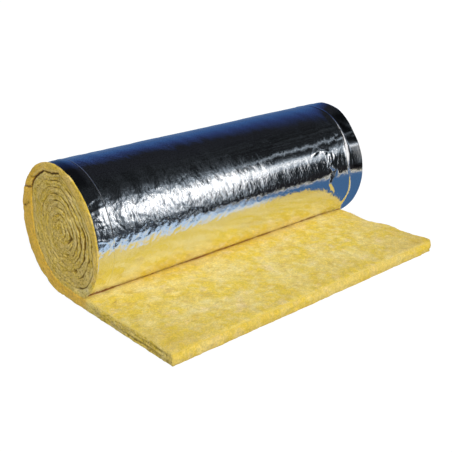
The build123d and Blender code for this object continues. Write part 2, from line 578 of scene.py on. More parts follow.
        # Olive on the flap's side face: partly its own colour, partly painted shade
        olive_shade = 0.45 * (1 - ramp(degrees_round, -62, -34))
        return recess, dark - 0.5 * pale * (line < 0.2), np.where(in_coil > 0, -in_coil, painted_warm_light - olive_shade)

    def between(self, left, right, shares):
        """X of the columns between vertices of the left end and of the right end."""
        ends = np.concatenate(self.points)
        return blend(ends[left, 0][:, None], ends[right, 0][:, None], shares[1:-1])

    def flap_upper_face(self):
        wool = self.blanket
        rows = np.arange(wool.flap_steps + 1)
        left, right = self.left[rows, -1], self.right[rows, -1]
        x = self.between(left, right, self.shares)
        y = wool.flap_y(x, (rows / wool.flap_steps)[:, None], 1.0)
        points = np.stack((x, y, wool.flap_top(x, y)), axis=-1)
        # Painted shade: a knotty reddish-brown line along the tuck, where the roll lies on the flap
        knots = 0.75 + 0.35 * wool.wobble(x / 0.06, 1.7) + 0.3 * wool.fleece(x / 0.018, 9.9)
        knots = np.clip(knots, 0.55, 1.35) * blend(1.0, 0.85, ramp(x, -0.2, 0.2))
        knots = knots * (1 + 0.35 * ramp(-x, 0.3, 0.55))
        under_rim = self.RIM_COVER * RIM_FLARE[-1] * rounding(width / 2 - x, RIM_REACH)
        crease = rounding(np.maximum(wool.tuck_y - under_rim - y, 0), self.CREASE_REACH) * knots
        # painted warm light on the flap near the tuck, where light bounces between the flap and the foil
        painted_warm_light = 0.35 * ramp(y, wool.tuck_y - 0.12, wool.tuck_y)
        # Painted shade: the flap goes olive towards its right side, its cut end and both sides
        olive_shade = 0.25 * ramp(x, width / 2 - 0.35, width / 2) + 0.42 * ramp(y, flap_end_y + 0.17, flap_end_y)
        olive_shade = olive_shade + 0.32 * ramp(np.abs(x), width / 2 - 0.25, width / 2)
        inside = self.add(points, np.stack((x, y, x * 0), axis=-1), crease, painted_warm_light - olive_shade)
        number = np.concatenate((left[:, None], inside, right[:, None]), axis=1)
        self.grid(number)
        return number

    def cut_end(self, top_row):
        wool = self.blanket
        across = wool.ACROSS[:-1, None]
        left, right = self.left[0, :-1], self.right[0, :-1]
        x = self.between(left, right, self.shares)
        y = wool.cut_y(x, across)
        z = blend(wool.EDGE_Z, wool.flap_top(x, y), across)
        lay = np.stack((x, z, x * 0 + 0.5), axis=-1)
        # The cut end gets the olive cast: partly its own colour, partly painted shade
        inside = self.add(np.stack((x, y, z), axis=-1), lay, 0.0, -1.0)
        number = np.concatenate((left[:, None], inside, right[:, None]), axis=1)
        number = np.concatenate((number, top_row[None]))
        self.grid(number)
        return number

    def hidden_side(self, cut_row, tuck_row):
        """Under the flap and round the roll, behind the foil, and the slot where the roll meets the flap."""
        wool = self.blanket
        rows = np.arange(1, wool.flap_steps + wool.STEPS + 1)
        left, right = self.left[rows, 0], self.right[rows, 0]
        ends = np.concatenate(self.points)
        x = self.between(left, right, self.hidden_shares)
        steps = rows[:, None] - wool.flap_steps - wool.tuck_steps
        angle = wool.angle(np.maximum(steps, 0))
        radius = wool.outside(np.maximum(steps, 0), end_curl(x, angle) + wool.FOIL_ROOM)
        flap_y = ends[left, 1][:, None]
        y = np.where(steps < 0, flap_y, wool.centre_y + radius * np.sin(angle))
        z = np.where(steps < 0, wool.BOTTOM_Z, wool.centre_z - radius * np.cos(angle))
        inside = self.add(np.stack((x, y, z), axis=-1), np.stack((x, y, z), axis=-1), 0.0)
        number = np.concatenate((left[:, None], inside, right[:, None]), axis=1)
        self.grid(number)
        self.stitch(cut_row, number[0], self.shares, self.hidden_shares)
        x = self.between(self.left_grooves[:1], self.right_grooves[:1], self.shares)[0]
        slot_y, slot_z = wool.tuck_y + self.SLOT_REACH, wool.top_z - self.SLOT_DROP
        points = np.stack((x, x * 0 + slot_y, x * 0 + slot_z), axis=-1)
        # The slot under the tuck gets full painted shade
        inside = self.add(points, points, 1.0)
        slot = np.concatenate((self.left_grooves[:1], inside, self.right_grooves[:1]))
        self.grid(np.stack((tuck_row, slot)))
        self.stitch(slot, number[-1], self.shares, self.hidden_shares)


class FoilSurface(Surface):
    """The facing: thin, closed, crinkled on its outside."""

    ROUND_STEP = 0.0056  # between rows round the back and over the top
    FRONT_STEP = 0.0040  # and down the front
    COLUMN_STEP = 0.0046  # between columns in the middle
    LEFT_STEP = 0.0031
    RIGHT_STEP = 0.0027
    CLOSE_LEFT = 0.03  # close columns reach this far past the seam
    CLOSE_RIGHT = 0.20  # and this far in from the right edge
    SEAM_HALF = 0.004  # the closest ones lie this far to both sides of the seam
    LEFT_INSET = 0.004
    FLAP_INSET = 0.017  # kept back from the flap's ragged sides
    CUT_INSET = 0.007  # and from its cut end
    SKIN = 0.0006  # mean outside, below the roll's full radius
    TUCKED = 0.022  # reaches this far in above the flap
    FLAT_THICKNESS = 0.0006  # of the closed skin below the flap
    ROUND_THICKNESS = 0.0017  # and round the roll
    RIM_THICKNESS = 0.0008  # and at its side edges
    WAVE = 0.0016  # the side edges wave this far
    SEAM_WIDTH = 0.0010
    SEAM_HEIGHT = 0.0008
    SEAM_WEAR = 0.46
    BEAD_WIDTHS = (0.0032, 0.0100)  # plain and swollen
    BEAD_HEIGHT = 0.0044
    PUCKERS_AT = 87  # degrees from the top, low on the front
    CRUMPLE_HEIGHT = 0.0016
    COARSE_SHARES = (0, 0.01, 0.03, 0.06, 0.2, 0.5, 0.8, 0.895, 0.915, 0.935, 0.955, 0.975, 0.99, 1.0)
    BEAD_AT = (-180, 20, 56, 65, 80, 87, 96, 108, 180)  # degrees from the top, where the bead lies
    BEAD_INSET = (0.056, 0.056, 0.066, 0.072, 0.081, 0.073, 0.065, 0.055, 0.055)  # this far from the edge
    FOLDS = (  # edge, two places as inset and degrees from the top, half width, height
        (-1, (0.002, 51), (0.050, 47), 0.006, 0.0022),
        (-1, (0.004, 58), (0.058, 56), 0.006, 0.0020),
        (-1, (0.002, 64), (0.045, 66), 0.006, 0.0022),
        (-1, (0.006, 71), (0.055, 69), 0.005, 0.0016),
        (-1, (0.003, 80), (0.050, 84), 0.006, 0.0022),
        (1, (0.168, 66), (0.184, 75), 0.012, 0.0045),
        (1, (0.184, 75), (0.151, 81), 0.012, 0.0055),
        (1, (0.151, 81), (0.179, 93), 0.012, 0.0060),
        (1, (0.179, 93), (0.147, 103), 0.012, 0.0055),
        (1, (0.147, 103), (0.182, 105), 0.010, 0.0040),
        (1, (0.257, 61), (0.225, 58), 0.012, 0.0032),
        (1, (0.225, 58), (0.165, 63), 0.012, 0.0030),
        (1, (0.110, 52), (0.060, 50), 0.008, 0.0020),
    )

    def __init__(self, blanket, settings):
        super().__init__()
        self.blanket, self.settings = blanket, settings
        self.wide, self.broad, self.small, self.fold = Grain(21), Grain(22), Grain(23), Grain(24)
        self.left_seam = -width / 2 + settings.left_seam
        self.end_angle = tau - atan2(axis_y - blanket.tuck_y, roll_radius - blanket.top_z)
        self.left_x, self.right_x = -width / 2 + self.LEFT_INSET, width / 2
        self.columns = self.fine_columns()
        self.coarse = blend(self.left_x, self.right_x, np.array(self.COARSE_SHARES))
        self.flap_length = axis_y - flap_end_y - self.CUT_INSET
        self.round_length = self.end_angle * roll_radius
        outer, outer_places = self.outer_face()
        inner, inner_places = self.inner_face()
        for column in (0, -1):
            self.stitch(
                [row[column] for row in outer], [row[column] for row in inner], outer_places, inner_places
            )
        self.stitch(outer[0], inner[0], self.coarse, self.coarse)
        self.stitch(outer[-1], inner[-1], self.columns, self.coarse)

    def fine_columns(self):
        """Columns of the crinkled face, closer at both ends and closest at the seam."""
        left, right = self.left_seam + self.CLOSE_LEFT, width / 2 - self.CLOSE_RIGHT
        middle_count = round((right - left) / self.COLUMN_STEP)
        right_count = round((self.right_x - right) / self.RIGHT_STEP)
        parts = (
            np.arange(self.left_x, left, self.LEFT_STEP),
            np.linspace(left, right, middle_count, endpoint=False),
            np.linspace(right, self.right_x, right_count + 1),
        )
        even = np.concatenate(parts)
        close = self.left_seam + np.linspace(-self.SEAM_HALF, self.SEAM_HALF, 9)
        clear = np.abs(even - self.left_seam) > self.SEAM_HALF + 0.0015
        return np.sort(np.concatenate((even[clear], close)))

    def slack(self, s):
        """How crinkled the facing is: pulled smooth over the top, loose over the front and the back."""
        round_angle = np.degrees(s / roll_radius)
        return blend(1.0, 0.35, ramp(round_angle, 120, 160) * (1 - ramp(round_angle, 214, 240)))

    def relief(self, x, s):
        """Height of the crinkles, dents and seams over the smooth roll."""
        settings = self.settings
        leftness = ramp(-x, -0.2, 0.5)
        dents = self.wide(x / 0.17, s / 0.24) * settings.dent
        lumps = self.broad(x / 0.042, s / 0.07) * settings.dent * blend(0.4, 1.1, leftness)
        bent_x = x + self.broad(x / 0.05 + 7, s / 0.08) * 0.006
        bent_s = s + self.broad(x / 0.04 + 31, s / 0.06) * 0.012
        lumps = lumps + self.puckers(x, s, bent_x, bent_s) * blend(0.2, 1.0, leftness)
        ridges = 1 - 2 * np.abs(self.small(bent_x / 0.020, bent_s / 0.030))
        finer = 1 - 2 * np.abs(self.small(bent_x / 0.011 + 50, bent_s / 0.016))
        tab = 1 - ramp(x, width / 2 - 0.085, width / 2 - 0.06) * 0.75
        taut = blend(0.16, 0.3, ramp(s, self.arc(60), self.arc(68)))
        crinkle = (ridges * 0.62 + finer * 0.34) * settings.crinkle * self.slack(s)
        crinkle = crinkle * blend(taut, 1.0, leftness)
        height = dents + (lumps + crinkle) * tab
        crumple = bell(x, width / 2 - 0.14, 0.09) * bell(s, self.arc(80), 0.16)
        edges = 0.4 - np.abs(self.fold(x / 0.022, s / 0.032))
        height = height + edges * self.CRUMPLE_HEIGHT * crumple
        for fold in self.FOLDS:
            height = height + self.folded(x, s, *fold)
        return height + self.left_line(x) * self.SEAM_HEIGHT + self.bead(x, s) * self.BEAD_HEIGHT

    def puckers(self, x, s, bent_x, bent_s):
        """Slanting puckers, in a band low on the front."""
        slanted = bent_x + 0.7 * (bent_s - self.arc(self.PUCKERS_AT))
        uneven = 0.8 + 0.9 * self.wide(x / 0.045, s / 0.05)
        height = self.broad(slanted / 0.016 + 70, s / 0.035) * 0.0010 * uneven
        height = height + (0.5 - np.abs(self.broad(slanted / 0.034 + 20, s / 0.026))) * 0.0014
        return height * bell(s, self.arc(self.PUCKERS_AT), 0.05)

    def arc(self, angle):
        """Length round the roll to an angle in degrees from the top towards the flap."""
        return radians(180 + angle) * roll_radius

    def folded(self, x, s, edge, start, end, half_width, height):
        """One sharp fold between two places, each an inset from the left or right edge and an angle."""
        places = ((edge * (width / 2 - inset), self.arc(angle)) for inset, angle in (start, end))
        first, last = (np.array(place) for place in places)
        run = last - first
        share = np.clip(((x - first[0]) * run[0] + (s - first[1]) * run[1]) / run.dot(run), 0, 1)
        away = np.hypot(x - first[0] - share * run[0], s - first[1] - share * run[1])
        return np.clip(1 - away / half_width, 0, 1) ** 1.5 * height * (1 - 0.6 * np.abs(2 * share - 1))

    def left_line(self, x):
        return np.exp(-(((x - self.left_seam) / self.SEAM_WIDTH) ** 2))

    def bead(self, x, s):
        """The knotty bead near the right edge, thick low on the front and fading over the top."""
        swollen = bell(s, self.arc(67), 0.07)
        knots = 0.75 + 0.35 * self.fold(s / 0.03, 3.3) + 0.3 * self.fold(s / 0.011, 8.1)
        shown = blend(0.4, 1.0, ramp(s, self.arc(20), self.arc(45)))
        inset = np.interp(np.degrees(s / roll_radius) - 180, self.BEAD_AT, self.BEAD_INSET)
        away = x - (width / 2 - inset)
        return np.exp(-((away / blend(*self.BEAD_WIDTHS, swollen)) ** 2)) * knots * shown

    def profile(self, x, s, lift):
        """Points of the facing: flat below the flap up to s 0, then round the roll, then into the tuck."""
        angle = np.clip(s, 0, self.round_length) / roll_radius
        radius = roll_radius - self.SKIN - end_curl(x, angle) + lift
        past = np.maximum(s - self.round_length, 0)
        x = x * blend(1.0, 1 - self.FLAP_INSET / (width / 2), 1 - ramp(s, -0.01, 0.08))
        y = np.where(s < 0, axis_y + s, axis_y + radius * np.sin(angle) + past)
        flat_z = self.SKIN * 0.4 - lift
        z = np.where(s < 0, flat_z, roll_radius - radius * np.cos(angle) - past * 0.03)
        return np.stack((x + s * 0, y, z + x * 0), axis=-1)

    def outer_face(self):
        flat_s = np.linspace(-self.flap_length, -self.ROUND_STEP, 40)
        round_length, front = self.round_length, self.arc(10)
        back_s = np.linspace(0, front, round(front / self.ROUND_STEP), endpoint=False)
        front_s = np.linspace(front, round_length, round((round_length - front) / self.FRONT_STEP))
        round_s = np.concatenate((back_s, front_s))
        tucked_s = round_length + np.array([0.006, 0.013, self.TUCKED])
        coarse_x = self.coarse[None]
        s = flat_s[:, None]
        flat = self.add(self.profile(coarse_x, s, 0.0 * s), np.zeros(3), 0.0)
        self.grid(flat)
        s = np.concatenate((round_s, tucked_s))[:, None]
        x = self.columns[None]
        fade = ramp(s, 0, 0.04) * (1 - ramp(s, round_length - 0.01, round_length + 0.004))
        height = self.relief(x, s) * fade
        wavy = 1 + self.fold(s / 0.05, np.sign(x) * 9.0) * self.WAVE / (width / 2)
        points = self.profile(x, s, height)
        points[..., 0] *= blend(1.0, wavy, ramp(np.abs(x), width / 2 - 0.05, width / 2))
        lay = np.stack((x + s * 0, s + x * 0, x * 0 + s * 0), axis=-1)
        curved = self.add(points, lay, self.fineness(x, s), self.wear_and_dark_reflection(x, s))
        self.grid(curved)
        self.stitch(flat[-1], curved[0], coarse_x[0], self.columns)
        return [*flat, *curved], [*flat_s, *round_s, *tucked_s]

    def fineness(self, x, s):
        """How strong the finest crinkles are, which the material makes."""
        leftness = ramp(-x, -0.2, 0.3)
        taut = blend(0.3, 0.65, ramp(s, self.arc(60), self.arc(68)))
        low_left = bell(s, self.arc(86), 0.05) * leftness
        return self.slack(s) * blend(taut, 1.0, leftness) * (1 + 0.5 * low_left)

    def wear_and_dark_reflection(self, x, s):
        """Above 0 along the worn seam and bead; below 0 on the strips outside them, painted as a darker
        reflection.
        """
        matt = blend(0.45, 1.0, bell(s, self.arc(66), 0.075))
        worn_bead = np.minimum(self.bead(x, s) * matt * 1.5, 1)
        worn = np.maximum(self.left_line(x) * self.SEAM_WEAR + s * 0, worn_bead)
        right_strip = ramp(s, self.arc(18), self.arc(30)) * (1 - ramp(s, self.arc(83), self.arc(87)))
        right_strip = right_strip * (1 - 0.8 * bell(s, self.arc(62), 0.011))
        over_top = ramp(s, self.arc(-36), self.arc(-10)) * (1 - ramp(s, self.arc(30), self.arc(45)))
        # Painted darker reflection on the right strip past the bead and on the left strip over the top
        dark_reflection = ramp(x, width / 2 - 0.055, width / 2 - 0.045) * right_strip
        dark_reflection = dark_reflection + 0.75 * ramp(self.left_seam - x, 0, 0.03) * over_top
        return worn - dark_reflection

    def inner_face(self):
        """The side towards the wool, with few vertices."""
        flat_s, round_s = np.linspace(-self.flap_length, -0.02, 12), np.linspace(0, self.round_length, 80)
        s = np.concatenate((flat_s, round_s, [self.round_length + self.TUCKED]))
        x = self.coarse[None]
        thin = ramp(np.abs(x), width / 2 - 0.012, width / 2)
        round_part = blend(self.ROUND_THICKNESS, self.RIM_THICKNESS, thin)
        below = np.where(s[:, None] < 0, self.FLAT_THICKNESS, round_part)
        points = self.profile(x, s[:, None], -below)
        inner = self.add(points, np.zeros(3), 0.0)
        self.grid(inner)
        return list(inner), list(s)


FIBRE_SEED = 41
FIBRE_RINGS = 5
FIBRE_SIDES = 3
FIBRE_LENGTHS = (0.012, 0.045)
FIBRE_BENDS = (-0.35, 0.35)  # shares of its length
FIBRE_LIFTS = (0.0002, 0.0022)
FIBRE_RADII = (0.00018, 0.00034)


def fibre_tubes(starts, directions, ups, lengths, rng):
    """Thin three-sided fibres that lie on a face, bend sideways and lift a little, as one surface."""
    surface = Surface()
    share = np.linspace(0, 1, FIBRE_RINGS)
    sides = np.cross(ups, directions)
    bend = rng.uniform(*FIBRE_BENDS, len(starts)) * lengths
    lift = rng.uniform(*FIBRE_LIFTS, len(starts))
    middle_radius = rng.uniform(*FIBRE_RADII, len(starts))
    bow = ((share - 0.5) ** 2 * 4)[None, :, None]
    arch = np.sin(share * pi)[None, :, None]
    line = (
        starts[:, None]
        + directions[:, None] * (share[None, :, None] - 0.5) * lengths[:, None, None]
        + sides[:, None] * bow * bend[:, None, None]
        + ups[:, None] * arch * lift[:, None, None]
    )
    radius = middle_radius[:, None, None] * (0.35 + arch)
    numbers = []
    for k in range(FIBRE_SIDES):
        turn = tau * k / FIBRE_SIDES
        ring = line + (sides[:, None] * cos(turn) + ups[:, None] * sin(turn)) * radius
        numbers.append(surface.add(ring, line * np.array([1, 1, 0]), 0.0))
    for k in range(FIBRE_SIDES):
        here, there = numbers[k], numbers[(k + 1) % FIBRE_SIDES]
        surface.quads(here[:, :-1], here[:, 1:], there[:, 1:], there[:, :-1])
    for end in (0, -1):
        surface.faces.extend(np.stack([side[:, end] for side in numbers], axis=-1).tolist())
    return surface


# Materials

WHITE = (1.0, 1.0, 1.0)


class Value:
    """A shader socket that can be used in Python expressions."""

    def __init__(self, tree, socket):
        self.tree, self.socket = tree, socket

    def node(self, kind, settings=None, output=0, **inputs):
        """Adds a node: its settings first, then values or links for its sockets, by name or number."""
        made = self.tree.nodes.new(kind)
        for name, value in (settings or {}).items():
            if name == "stops":
                set_stops(made.color_ramp, value)
            else:
                setattr(made, name, value)
        for name, value in inputs.items():
            key = int(name[1:]) if name[0] == "_" and name[1:].isdigit() else name.replace("_", " ")
            plug(self.tree, made.inputs[key], value)
        return Value(self.tree, made.outputs[output])

    def maths(self, operation, *values):
        inputs = {f"_{i}": value for i, value in enumerate(values)}
        return self.node("ShaderNodeMath", {"operation": operation}, **inputs)

    def __add__(self, other):
        return self.maths("ADD", self, other)

    __radd__ = __add__

    def __sub__(self, other):
        return self.maths("SUBTRACT", self, other)

    def __rsub__(self, other):
        return self.maths("SUBTRACT", other, self)

    def __mul__(self, other):
        return self.maths("MULTIPLY", self, other)

    __rmul__ = __mul__

    def __truediv__(self, other):
        return self.maths("DIVIDE", self, other)

    def __pow__(self, other):
        return self.maths("POWER", self, other)

    def __gt__(self, other):
        return self.maths("GREATER_THAN", self, other)

    def __abs__(self):
        return self.maths("ABSOLUTE", self)

    def span(self, low, high, to_low=0.0, to_high=1.0):
        """Eased from to_low at low to to_high at high."""
        return self.node(
            "ShaderNodeMapRange",
            {"interpolation_type": "SMOOTHSTEP"},
            Value=self,
            From_Min=low,
            From_Max=high,
            To_Min=to_low,
            To_Max=to_high,
        )

    def hill(self, half_width):
        """1 where this is 0, falling off like a bell to both sides."""
        share = self / half_width
        return self.maths("EXPONENT", share * share * -1.0)

    def stretch(self, scale):
        """A vector times a scale for each axis."""
        return self.node("ShaderNodeVectorMath", {"operation": "MULTIPLY"}, _0=self, _1=scale)

    def shifted(self, other):
        return self.node("ShaderNodeVectorMath", {"operation": "ADD"}, _0=self, _1=other)

    def noise(self, scale, detail=2.0, roughness=0.5, distortion=0.0):
        """Cloudy noise at this vector."""
        return self.node(
            "ShaderNodeTexNoise",
            {"noise_dimensions": "3D"},
            Vector=self,
            Scale=scale,
            Detail=detail,
            Roughness=roughness,
            Distortion=distortion,
        )

    def lit(self, factor):
        """This colour, made brighter or darker."""
        return self.node("ShaderNodeVectorMath", {"operation": "SCALE"}, _0=self, Scale=factor)

    def mixed(self, other, factor):
        """This colour, going over to another by a factor."""
        return self.node(
            "ShaderNodeMix", {"data_type": "RGBA"}, output=2, Factor=factor, _6=self, _7=other
        )

    def layered(self, *coats):
        """This colour with others mixed in one after another, each by its own factor."""
        colour = self
        for other, factor in coats:
            colour = colour.mixed(other, factor)
        return colour

    def axis(self, name):
        """One part of this vector."""
        return self.node("ShaderNodeSeparateXYZ", output=name, Vector=self)

    def attribute(self, name, output="Fac"):
        """What each vertex carries under a name."""
        return self.node("ShaderNodeAttribute", {"attribute_name": name}, output=output)

    def colour(self, plain):
        """A plain colour to start from."""
        made = self.node("ShaderNodeRGB")
        made.socket.default_value = (*plain, 1.0)
        return made


def plug(tree, socket, value):
    """Links a value to a socket, or sets the socket to a number, colour or vector."""
    if isinstance(value, Value):
        tree.links.new(value.socket, socket)
        return
    if socket.type == "RGBA" and len(value) == 3:
        value = (*value, 1.0)
    socket.default_value = value


def set_stops(colour_ramp, stops):
    while len(colour_ramp.elements) > 1:
        colour_ramp.elements.remove(colour_ramp.elements[-1])
    for i, (place, colour) in enumerate(stops):
        stop = colour_ramp.elements[0] if i == 0 else colour_ramp.elements.new(place)
        stop.position = place
        stop.color = (*colour, 1.0)


def new_material(name):
    """An empty node material, and a Value to start its expressions from."""
    material = bpy.data.materials.new(name)
    material.use_nodes = True
    material.node_tree.nodes.clear()
    return material, Value(material.node_tree, None)


def finish_surface(start, shader):
    output = start.tree.nodes.new("ShaderNodeOutputMaterial")
    start.tree.links.new(shader.socket, output.inputs["Surface"])


def wool_material(colours):
    """Matted glass fibre: yellow with cream and rosy patches, tangled strands, painted brown shade between
    the turns.
    """
    material, start = new_material("glass_wool")
    lay, depth, tone = start.attribute("lay", "Vector"), start.attribute("depth"), start.attribute("tone")
    on_end = abs(lay.axis("Z")).span(0.5, 0.9)

    def strands(offset, along, across, line_width):
        """Thin tangled lines, 1 in their middle."""
        field = lay.shifted(offset).stretch((along, across, 1.0)).noise(1.0, 2.5, 0.55, 0.9)
        return abs(field - 0.5).span(0.0, line_width, 1.0, 0.0)

    broad = lay.shifted((2.2, 5.1, 0.3)).noise(6.5, 3.0, 0.55, 0.3)
    patches = lay.noise(26.0, 5.0, 0.62, 0.2)
    rosy = lay.shifted((3.1, 7.7, 0.4)).noise(17.0, 4.0, 0.58, 0.1)
    deep = lay.shifted((8.3, 2.9, 1.7)).noise(20.0, 5.0, 0.62, 0.1)
    speckle = lay.shifted((1.3, 4.2, 0.9)).stretch((100.0, 170.0, 1.0)).noise(1.0, 3.0, 0.6, 0.0)
    grain = lay.shifted((6.1, 3.3, 0.2)).noise(240.0, 2.0, 0.6, 0.0)
    tufts = lay.shifted((4.7, 9.2, 0.6)).noise(62.0, 4.0, 0.62, 1.4)
    pale_strands = strands((0.0, 0.0, 0.0), 60.0, 100.0, 0.06)
    fine_strands = strands((5.5, 1.1, 0.7), 150.0, 210.0, 0.07)
    layers = lay.stretch((26.0, 330.0, 1.0)).noise(1.0, 3.0, 0.6, 0.3)
    body = start.colour(colours.yellow).layered(
        (colours.cream, patches.span(0.42, 0.68, 0.0, 0.62)),
        (colours.cream, broad.span(0.44, 0.62, 0.0, 0.42)),
        (colours.pink, rosy.span(0.54, 0.70, 0.0, 0.6)),
        (colours.amber, deep.span(0.52, 0.74, 0.0, 0.55)),
        (colours.cream, pale_strands * 0.12),
        # painted warm light, and olive that is partly the ends' own colour and partly painted shade
        (colours.orange, tone.span(0.0, 1.0, 0.0, 0.85)),
        (colours.olive, tone.span(0.0, -1.0, 0.0, 0.45)),
    )
    rough_end = on_end * tone.span(0.0, 0.7, 1.0, 0.35)
    # Painted shade by depth: reddish brown in the crease and cracks, dark brown between the turns
    reddish_shade = start.colour(colours.reddish_shade).lit(1 - 0.7 * on_end)
    crease_and_gap_shade = reddish_shade.mixed(colours.shade, on_end * tone.span(0.0, 0.4, 1.0, 0.0))
    colour = body.lit(0.22 + grain * 0.7 + tufts * 0.8).layered(
        (colours.amber, rough_end * layers.span(0.5, 0.3, 0.0, 0.6)),
        (colours.shade, rough_end * layers.span(0.44, 0.26, 0.0, 0.7)),
        (colours.shade, rough_end * speckle.span(0.50, 0.27, 0.0, 0.85)),
        (colours.cream, rough_end * speckle.span(0.48, 0.74, 0.0, 0.5)),
        # painted highlight where depth is below 0, on the lip beside each line
        (colours.cream, depth.span(0.0, -0.6, 0.0, 0.42)),
        (crease_and_gap_shade, depth.span(0.1, 1.0, 0.0, 0.93)),
    )
    # painted shade made darker still in the crack, where depth passes 1
    colour = colour.lit(depth.span(1.0, 1.4, 1.0, 0.4))
    relief = pale_strands * 0.2 + fine_strands * 0.2 + grain * 0.5 + tufts + patches
    relief = relief + (layers + speckle) * on_end
    bump = start.node("ShaderNodeBump", Strength=0.5, Distance=0.004, Height=relief)
    shader = start.node(
        "ShaderNodeBsdfPrincipled",
        Base_Color=colour,
        Roughness=0.95,
        Normal=bump,
        Sheen_Weight=0.12,
        Sheen_Roughness=0.6,
        Sheen_Tint=(1.0, 0.93, 0.7),
        Specular_IOR_Level=0.2,
    )
    finish_surface(start, shader)
    return material


def foil_material(settings):
    """Bright crinkled aluminium foil."""
    material, start = new_material("foil")
    lay, slack, worn = start.attribute("lay", "Vector"), start.attribute("depth"), start.attribute("tone")
    fine = lay.stretch((115.0, 72.0, 1.0)).noise(1.0, 2.0, 0.5, 0.6)
    cloud = lay.noise(9.0, 3.0, 0.6)
    roughness = cloud.span(0.3, 0.7, 0.05, 0.09) + worn.span(0.15, 0.8, 0.0, 0.38)
    dust = lay.shifted((0.7, 1.9, 0.0)).noise(230.0, 3.0, 0.65)
    specks = slack.span(0.3, 0.9, 1.0, 0.0) * dust.span(0.46, 0.66, 0.0, 0.42)
    relief = abs(fine - 0.5) * 1.5 * slack
    bump = start.node("ShaderNodeBump", Strength=1.0, Distance=0.0006, Height=relief)
    # Where worn is below 0 the foil's colour is darkened: a painted darker reflection
    bright = start.colour(settings.colour).lit(worn.span(-1.0, 0.0, 0.3, 1.0) * (1 - specks))
    shader = start.node(
        "ShaderNodeBsdfPrincipled",
        Base_Color=bright,
        Metallic=worn.span(0.2, 0.9, 1.0, 0.2),
        Roughness=roughness,
        Normal=bump,
    )
    finish_surface(start, shader)
    return material


def floor_material():
    """Pale paper that is lit from below too, so that only soft shadows show on it."""
    material, start = new_material("pale_floor")
    paper = start.node("ShaderNodeBsdfDiffuse", Color=(0.95, 0.95, 0.95))
    glow = start.node("ShaderNodeEmission", Color=WHITE, Strength=1.1)
    finish_surface(start, start.node("ShaderNodeMixShader", _0=0.82, _1=paper, _2=glow))
    return material


def blue_floor_material():
    """A floor that the foil mirrors: pale at the left, blue to the right, bright along its far edge."""
    sky_blue, grey_blue, deep_blue = (0.42, 0.58, 0.78), (0.19, 0.29, 0.43), (0.055, 0.13, 0.27)
    bright_edge, near_flap = (0.80, 0.76, 0.62), (0.72, 0.70, 0.60)
    pale_spots, dark_spots = (0.80, 0.80, 0.74), (0.12, 0.20, 0.32)
    dark_floor, black_floor = (0.045, 0.055, 0.07), (0.014, 0.014, 0.016)
    material, start = new_material("blue_floor")
    place = start.node("ShaderNodeTexCoord", output="Object")
    across, depth = place.axis("X"), place.axis("Y")
    from_edge = depth + across.span(0.0, 0.3, 0.88, 1.15) - across.span(0.5, 1.3, 0.0, 0.4)
    at_left = across.span(0.25, 0.55, 1.0, 0.0)
    mottle = place.noise(24.0, 3.0, 0.6)
    colour = start.colour(sky_blue).layered(
        (grey_blue, across.span(0.25, 0.6)),
        (deep_blue, across.span(0.5, 0.68)),
        (bright_edge, from_edge.hill(0.16) * across.span(0.3, 0.7)),
        (near_flap, depth.span(-0.48, -0.34, 0.0, 0.75) * at_left),
        (pale_spots, mottle.span(0.54, 0.66, 0.0, 0.6) * at_left),
        (dark_spots, mottle.span(0.44, 0.33, 0.0, 0.6) * at_left),
        (start.colour(dark_floor).mixed(black_floor, across.span(0.9, 1.3)), from_edge.span(0.02, -0.06)),
    )
    finish_surface(start, start.node("ShaderNodeEmission", Color=colour, Strength=1.0))
    return material


# Stage

FLOOR_HALF = 20
MIRRORED_HALF = 4
MIRRORED_RISE = 0.047  # the sheet that paints a blue reflection over the flap's front lies just above it
RAISED_OUTLINE = ((-MIRRORED_HALF, -0.46), (0.62, -0.46), (0.35, -0.309), (-MIRRORED_HALF, -0.309))
CAMERA_AT = (-1.7719, -1.8944, 1.1905)
CAMERA_TURN = (42.16, 22.159, 0.685)  # degrees: yaw from +Y towards +X, pitch down, and a slight roll
SENSOR_WIDTH = 36.0
KEY_FROM = Vector((-0.30, -0.79, 0.53)).normalized()
BACKDROP = (  # blue over dark, by the height that the foil mirrors
    (0.0, (0.10, 0.18, 0.35)),
    (0.10, (0.062, 0.122, 0.27)),
    (0.28, (0.04, 0.10, 0.27)),
    (0.50, (0.025, 0.045, 0.14)),
    (0.68, (0.014, 0.0155, 0.02)),
)


def square(half, z):
    return [(-half, -half, z), (half, -half, z), (half, half, z), (-half, half, z)]


def stage_sheet(name, corners):
    """A flat piece of the stage."""
    mesh = bpy.data.meshes.new(name)
    mesh.from_pydata(corners, [], [list(range(len(corners)))])
    sheet = bpy.data.objects.new(name, mesh)
    bpy.context.scene.collection.objects.link(sheet)
    return sheet


def only_in_foil(sheet):
    """Hides a sheet from all but mirror rays."""
    sheet.visible_camera = sheet.visible_diffuse = sheet.visible_shadow = False


def place_camera(scene, settings):
    """The photograph's viewpoint."""
    yaw, pitch, roll = (radians(angle) for angle in CAMERA_TURN)
    forward = Vector((sin(yaw) * cos(pitch), cos(yaw) * cos(pitch), -sin(pitch)))
    right = Vector((cos(yaw), -sin(yaw), 0))
    up = right.cross(forward)
    rolled_right = cos(roll) * right + sin(roll) * up
    rolled_up = cos(roll) * up - sin(roll) * right
    camera = bpy.data.cameras.new("camera")
    camera.lens = settings.lens
    camera.sensor_width = SENSOR_WIDTH
    viewer = bpy.data.objects.new("camera", camera)
    turn = Matrix((rolled_right, rolled_up, -forward)).transposed()
    viewer.matrix_world = Matrix.Translation(CAMERA_AT) @ turn.to_4x4()
    scene.collection.objects.link(viewer)
    scene.camera = viewer


